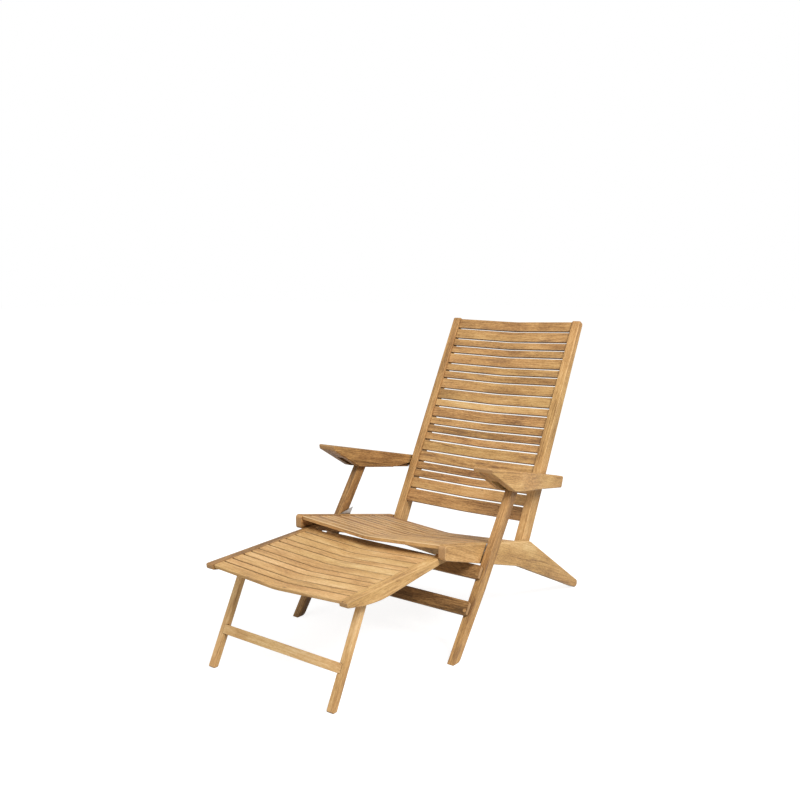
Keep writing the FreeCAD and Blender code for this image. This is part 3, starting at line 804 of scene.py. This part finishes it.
def slat_row(
        pattern, start, direction, origin, recess, half, dip, thick, tones, top_rim_pale, label, body,
        stands_for):
    # origin lies on the rails' top line, recess is how far below it the slats' ends lie,
    # half is the x at which they enter the rails
    normal = turned_up(direction)
    place = start
    for number, kind in enumerate(pattern):
        spot = origin + direction * (place / 1000) - normal * (recess / 1000)
        obj = slat(
            "%s_%02d" % (label, number + 1), WIDTHS[kind], thick, half, dip, spot, direction, top_rim_pale)
        shade_softly(obj)
        light, warm = tones[number]
        paint(obj, TEAK_BY_GRAIN["across"], light, warm, (number * 0.377 + 0.05) % 1.0)
        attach(obj, body)
        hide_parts(stands_for(number, kind))
        place += WIDTHS[kind] + GAP


# the tones are pairs of lightness and warmth, one for each slat
SEAT_NODES = {"F": "seat_slat_front", "W": "seat_slats_wide", "N": "seat_slats_narrow"}
SEAT_TONES = (
    (-0.15, 0.1), (-0.5, 0.3), (-0.25, 0.0), (-0.4, 0.2), (-0.6, 0.1), (-0.3, 0.1),
    (-0.5, 0.4), (-0.2, 0.0), (-0.55, 0.2), (-0.3, 0.1), (-0.4, 0.0), (-0.7, 0.2))
slat_row(
    pattern="FWNNWWNWWNWW", start=7.5, direction=heading(1, -0.2088),
    origin=drawn(*RAIL_TOP_FRONT), recess=1.8, half=RAIL_INNER, dip=16.5, thick=11.0,
    tones=SEAT_TONES, top_rim_pale=1.1, label="seat_board", body="seat",
    stands_for=lambda number, kind: SEAT_NODES[kind])

# the back is laid from its foot up, while its pattern, tones and nodes count from the top
BACK_TONES = (
    (-0.55, 0.4), (-0.05, 0.1), (-0.3, 0.1), (-0.45, 0.0), (0.0, 0.2),
    (-0.2, 0.0), (-0.35, 0.3), (0.2, -0.2), (-0.3, -0.1), (0.25, -0.2),
    (-0.55, 0.6), (-0.2, 0.1), (-0.4, 0.1), (-0.05, 0.1), (0.25, -0.2),
    (0.0, 0.1), (-0.4, 0.4), (-0.1, 0.1), (0.0, 0.0), (-0.55, 0.2))
BACK_PATTERN = "WWNNWNNWWNWNNNWWNNWB"
BACK_TOP_EDGE = 713.0
back_length = sum(WIDTHS[kind] for kind in BACK_PATTERN) + GAP * (len(BACK_PATTERN) - 1)
slat_row(
    pattern=BACK_PATTERN[::-1], start=BACK_TOP_EDGE - back_length, direction=STILE_DIR,
    origin=drawn(*STILE_REF), recess=6.0, half=STILE_INNER, dip=13.0, thick=10.0,
    tones=BACK_TONES[::-1], top_rim_pale=0.4, label="back_board", body="backrest",
    stands_for=lambda number, kind: "back_slat_%02d" % (20 - number))

REST_TONES = (
    (0.65, 0.0), (0.25, 0.1), (0.6, 0.0), (0.75, 0.2), (0.55, 0.0), (0.7, 0.1),
    (0.8, -0.1), (0.6, 0.2), (0.7, 0.0), (0.6, 0.1), (0.45, 0.0))
slat_row(
    pattern="WNWNNWWNWWW", start=3.0, direction=REST_DIR,
    origin=drawn(-708, 262), recess=1.0, half=REST_INNER, dip=12.0, thick=9.0,
    tones=REST_TONES, top_rim_pale=0.2, label="footrest_board", body="footrest",
    stands_for=lambda number, kind: "footrest_slat_%02d" % (number + 1))


# ---------------------------------------------------------------- camera, floor and light
CAMERA_PLACE = (1.4872, -2.0101, 0.9692)
CAMERA_TURN = (82.497, 0.0, 37.298)     # degrees
CAMERA_LENS = 40.16
FLOOR_HALF = 30.0                       # half the floor's side
FLOOR_DROP = 0.0005                     # clear of the feet's undersides
FLOOR_MATT = (0.38, 0.38, 0.38, 1.0)    # what lights the chair from below
FLOOR_PALE = (0.45, 0.45, 0.45, 1.0)    # what the camera sees, with the glow added
FLOOR_GLOW = 0.84
WHITE = (1.0, 1.0, 1.0, 1.0)
WORLD_LIGHT = 0.42

camera_data = bpy.data.cameras.new("camera")
camera_data.lens = CAMERA_LENS
camera_data.sensor_width = 36.0
camera = bpy.data.objects.new("camera", camera_data)
camera.location = CAMERA_PLACE
camera.rotation_euler = [math.radians(angle) for angle in CAMERA_TURN]
scene.collection.objects.link(camera)
scene.camera = camera


def floor_material():
    # white to the camera where nothing shades it; to every other ray a pale matt floor
    material = bpy.data.materials.new("pale_floor")
    net = Net(material)
    both = net.node("ShaderNodeAddShader")
    net.feed(both.inputs[0], net.node("ShaderNodeBsdfDiffuse", Color=FLOOR_PALE).outputs[0])
    glow = net.node("ShaderNodeEmission", Color=WHITE, Strength=FLOOR_GLOW)
    net.feed(both.inputs[1], glow.outputs[0])
    matt = net.node("ShaderNodeBsdfDiffuse", Color=FLOOR_MATT)
    net.output(net.either(net.shown(), matt.outputs[0], both.outputs[0]))
    return material


floor_mesh = bpy.data.meshes.new("floor")
floor_mesh.from_pydata(
    [(x * FLOOR_HALF, y * FLOOR_HALF, 0) for x, y in ((-1, -1), (1, -1), (1, 1), (-1, 1))],
    [], [(0, 1, 2, 3)])
floor = bpy.data.objects.new("floor", floor_mesh)
floor.location.z = -FLOOR_DROP
floor_mesh.materials.append(floor_material())
scene.collection.objects.link(floor)


def lamp(name, place, target, size, power):
    data = bpy.data.lights.new(name, "AREA")
    data.shape = "DISK"
    data.size = size
    data.energy = power
    obj = bpy.data.objects.new(name, data)
    obj.location = place
    obj.rotation_euler = (Vector(target) - Vector(place)).to_track_quat("-Z", "Y").to_euler()
    scene.collection.objects.link(obj)


lamp("key", place=(2.7, -0.9, 3.0), target=(0.0, 0.0, 0.35), size=1.8, power=138.0)
lamp("fill", place=(-1.4, -3.2, 1.2), target=(0.0, -0.1, 0.3), size=2.4, power=22.0)

# white to the camera, softer as a light
world = bpy.data.worlds.new("studio")
scene.world = world
net = Net(world)
soft = net.node("ShaderNodeBackground", Color=WHITE, Strength=WORLD_LIGHT)
white = net.node("ShaderNodeBackground", Color=WHITE, Strength=1.0)
net.output(net.either(net.shown(), soft.outputs[0], white.outputs[0]), "ShaderNodeOutputWorld")

scene.view_settings.view_transform = "Standard"
